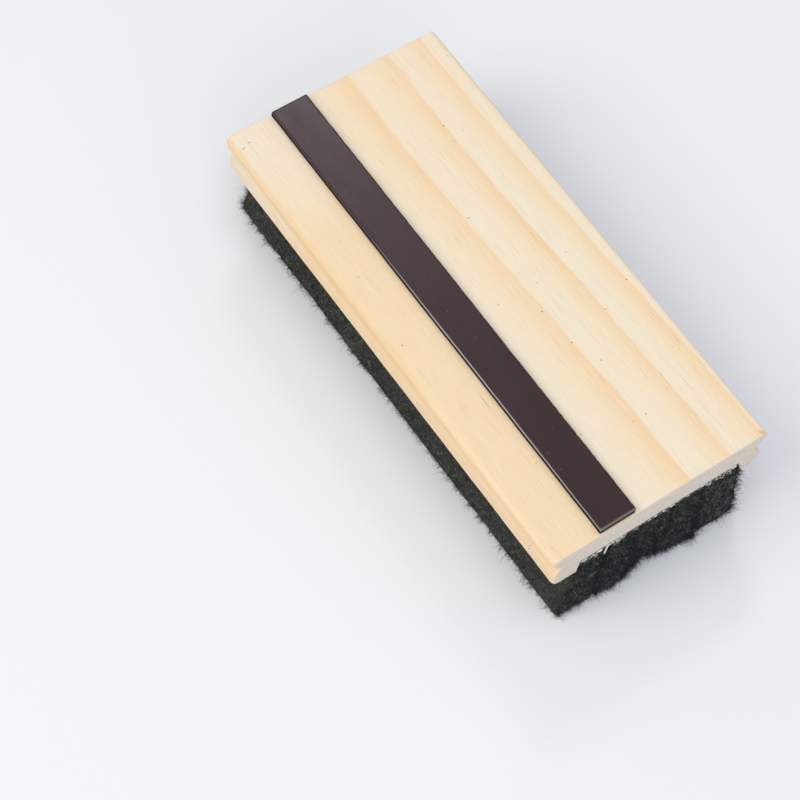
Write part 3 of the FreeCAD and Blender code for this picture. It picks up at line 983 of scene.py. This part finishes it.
def fuzz(name, body, count, finish, seed, lengths, standing, fringe=0.0, radius=FIBRE_RADIUS):
    """Fibres rooted at random over a body's faces, in proportion to area and to how
    much a face is open to the air: its ends, its foot, and the sole's outer sides.
    The fringe is how much they crowd to the arrises, in tufts."""
    random = np.random.default_rng(seed)
    polygons = body.data.polygons
    centres = read_back(polygons, "center", 3)
    normals = read_back(polygons, "normal", 3)
    areas = read_back(polygons, "area", 1)
    corners = read_back(body.data.loops, "vertex_index", 1).astype(int)
    first_corner = corners[read_back(polygons, "loop_start", 1).astype(int)]
    stored = body.data.attributes
    outer = read_back(stored["outer_face"].data, "value", 1)[first_corner]
    crease = read_back(stored["crease"].data, "value", 1)[first_corner]
    open_air = OPEN_INSIDE + OPEN_END * np.abs(normals[:, 0]) ** 2 + outer
    open_air += OPEN_FOOT * np.clip(-normals[:, 2], 0, 1)
    low_arris = (np.abs(normals).max(axis=1) < 0.93) & (centres[:, 2] < 2 * MM)
    end_arris = (np.abs(normals[:, 0]) > 0.2) & (np.abs(normals[:, 1]) > 0.2)
    tufted = np.clip(waves(centres, 2.6 * MM, seed + 7) * 0.5 + 0.7, 0.1, 2.0)
    tufted *= 1 - 0.8 * np.clip(crease, 0, 1)
    crowd = 1 + fringe * np.where(low_arris, LOW_CROWD, np.where(end_arris, END_CROWD, 0))
    weights = areas * open_air * crowd * tufted
    weights[(normals[:, 2] > 0.5) | ((centres[:, 2] > MOUTH) & (np.abs(normals[:, 0]) < 0.5))] = 0
    chosen = random.choice(len(areas), count, p=weights / weights.sum())
    normal = normals[chosen]
    any_way = random.normal(size=(count, 3))
    flat = unit(any_way - (any_way * normal).sum(axis=1, keepdims=True) * normal)
    across = np.cross(normal, flat)
    upright = random.beta(1.2, 1.2 / standing, count)[:, None]
    ways = unit(normal * (0.12 + upright) + flat * (1 - 0.75 * upright))
    curl = random.normal(0, 0.55, count)[:, None] * across - normal * (0.10 + 0.25 * (1 - upright))
    jitter = random.uniform(-0.5, 0.5, (count, 1)) * flat + random.uniform(-0.5, 0.5, (count, 1)) * across
    roots = centres[chosen] + jitter * FELT_STEP + normal * 0.02 * MM
    roots[:, 2] = np.maximum(roots[:, 2], FLOOR_CLEARANCE)
    long = np.clip(random.lognormal(np.log(lengths * MM), 0.38, count), 0.25 * MM, 4 * MM)
    points, faces = fibre_tubes(roots, ways, curl, long, radius)
    new_piece(name, points, faces, finish)


# A fibre is thinner than any pattern on it, so each kind has one plain colour
dark = Finish("fibre_dark", Base_Color=shade(50, 52, 53), Roughness=0.8, Specular_IOR_Level=0.3).material
grey = Finish("fibre_grey", Base_Color=shade(152, 155, 149), Roughness=0.7).material
pale = Finish("fibre_pale", Base_Color=shade(205, 205, 200), Roughness=0.6).material
for number, (body, grey_count) in enumerate(zip(felt_bodies, GREY_COUNTS), start=1):
    fuzz(f"fuzz_dark_{number}", body, DARK_COUNT, dark, 100 + number, **DARK_KIND)
    fuzz(f"fuzz_fringe_{number}", body, FRINGE_COUNT, dark, 400 + number, **FRINGE_KIND)
    fuzz(f"fuzz_grey_{number}", body, grey_count, grey, 200 + number, **GREY_KIND)
    fuzz(f"fuzz_pale_{number}", body, LINT_COUNT, pale, 300 + number, **LINT_KIND)

# ---------- glue squeeze-out
# White glue was pressed out at both open ends of the recess as the strips went in. It
# dried along the joint as a thin broken bead, with a few strings and a drip at each end.
GLUE_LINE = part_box("felt_glue")[0][2]
BEAD_ENDS = (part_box("felt_glue")[0][1] - 0.6 * MM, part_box("felt_glue")[1][1] + 0.2 * MM)
BEAD_STEP = 0.12 * MM
BEAD_DROP = 0.48 * MM
# Radius of the bead in millimetres, from the hair-thin skin to its thickest
BEAD_RADII = (0.012, 0.20)
STRING_POINTS = 26
GLUE_WHITE = shade(255, 254, 250)
GLUE_THIN = shade(240, 234, 220)


def glue_tube(path, radii, sides=6):
    """Closed tube along a path, with its own radius at each point and closed tips: each
    ring stands square to the path, on two directions that are carried along it."""
    along = unit(np.gradient(path, axis=0))
    first = unit(np.cross(along, (0.31, 0.17, 0.93)))
    ring = round_ring(first, np.cross(along, first), sides)
    points = (path[:, None] + radii[:, None, None] * ring).reshape(-1, 3)
    step = np.arange(sides)
    after = (step + 1) % sides
    tip = len(path) * sides
    last = tip - sides
    caps = np.concatenate([
        np.stack([after, step, np.full(sides, tip)], axis=1),
        np.stack([last + step, last + after, np.full(sides, tip + 1)], axis=1),
    ])
    return np.concatenate([points, path[[0, -1]]]), [ring_quads(len(path), sides), caps]


def joined(parts):
    """Several tubes as one set of points, and their quads and triangles."""
    starts = np.cumsum([0] + [len(points) for points, _ in parts[:-1]])
    points = np.concatenate([points for points, _ in parts])
    faces = [
        np.concatenate([part[1][kind] + start for part, start in zip(parts, starts)]) for kind in (0, 1)
    ]
    return points, faces


def glue_bead(end, seed):
    """The bead at one end. Its radius is a random field along Y that is cut off at
    nothing, so it breaks up; where it is gone, a hair-thin skin is left."""
    across = np.arange(BEAD_ENDS[0], BEAD_ENDS[1], BEAD_STEP)
    line = np.stack([np.zeros_like(across), across, np.zeros_like(across)], axis=1)
    swell = waves(line, 1.6 * MM, seed) * 0.11 + waves(line, 0.6 * MM, seed + 1) * 0.06 + 0.07
    radii = np.clip(swell, *BEAD_RADII) * MM
    proud = HALF_LENGTH + 0.02 * MM + waves(line, 2.5 * MM, seed + 2) * 0.04 * MM
    height = CEILING - BEAD_DROP + waves(line, 3.0 * MM, seed + 3) * 0.14 * MM
    return glue_tube(np.stack([end * proud, across, height], axis=1), radii)


def glue_string(end, start, reach, drop, thick, seed):
    """One dried string: from start it wanders along Y by its reach and hangs by its
    drop, in a slow curl. It stays just clear of the strips' ends."""
    share = np.linspace(0, 1, STRING_POINTS)
    random = np.random.default_rng(seed)
    swing = np.sin(share * np.pi * random.uniform(1.2, 3.0) + random.uniform(0, 6)) * 0.35 * MM
    extent = np.abs(drop) + np.abs(reach)
    across = start + reach * share + swing * np.abs(drop) / extent
    height = GLUE_LINE - 0.25 * MM - drop * share + swing * np.abs(reach) / extent
    leaning = 0.25 * MM * drop * share / (3 * MM)
    proud = HALF_LENGTH + 0.05 * MM + 0.12 * MM * np.sin(share * 7 + seed) + leaning
    radii = thick * np.sin(np.clip(share * 0.94 + 0.05, 0, 1) * np.pi) ** 0.4
    return glue_tube(np.stack([end * proud, across, height], axis=1), radii)


# Where the glue ran out in strings: (end, from, to along Y, number of strings)
GLUE_RUNS = [
    (1, -20, -15.5, 6), (1, -11, -5, 7), (1, 1.5, 4.5, 2), (1, 15, 21.5, 9),
    (-1, -18, -12, 4), (-1, 5, 12, 5),
]
# A drip at each end: (end, start along Y, reach, drop, thickness, seed). The strings are
# added in the same form, all in millimetres
glue_threads = [(1, -13.8, -0.5, 2.6, 0.24, 3), (-1, -3.0, -1.4, 2.2, 0.12, 14)]
glue_random = np.random.default_rng(77)
for end, first_y, last_y, number in GLUE_RUNS:
    for start in glue_random.uniform(first_y, last_y, number):
        reach, drop = glue_random.uniform(-2.2, 2.2), glue_random.uniform(0.2, 2.2)
        thick = glue_random.uniform(0.03, 0.06)
        glue_threads.append((end, start, reach, drop, thick, int(start * 10) + 400))


def glue_finish():
    """Dried white glue: chalky, a little clearer and yellower where it is thin."""
    glue = Finish("dried_glue", Specular_IOR_Level=0.8)
    place, _ = glue.millimetres()
    cloud = glue.noise(place, (1.2, 1.2, 1.2), detail=3.0, roughness=0.55)
    glue.feed("Base Color", glue.mix(cloud.rise(0.35, 0.7), GLUE_WHITE, GLUE_THIN))
    glue.feed("Roughness", 0.28 + cloud * 0.25)
    return glue.material


glue_white = glue_finish()
beads = joined([glue_bead(1, 500), glue_bead(-1, 520)])
strings = joined([
    glue_string(end, start * MM, reach * MM, drop * MM, thick * MM, seed)
    for end, start, reach, drop, thick, seed in glue_threads
])
for name, (points, faces) in {"glue_beads": beads, "glue_strings": strings}.items():
    new_piece(name, points, faces, glue_white)
refinish("felt_glue", glue_white)
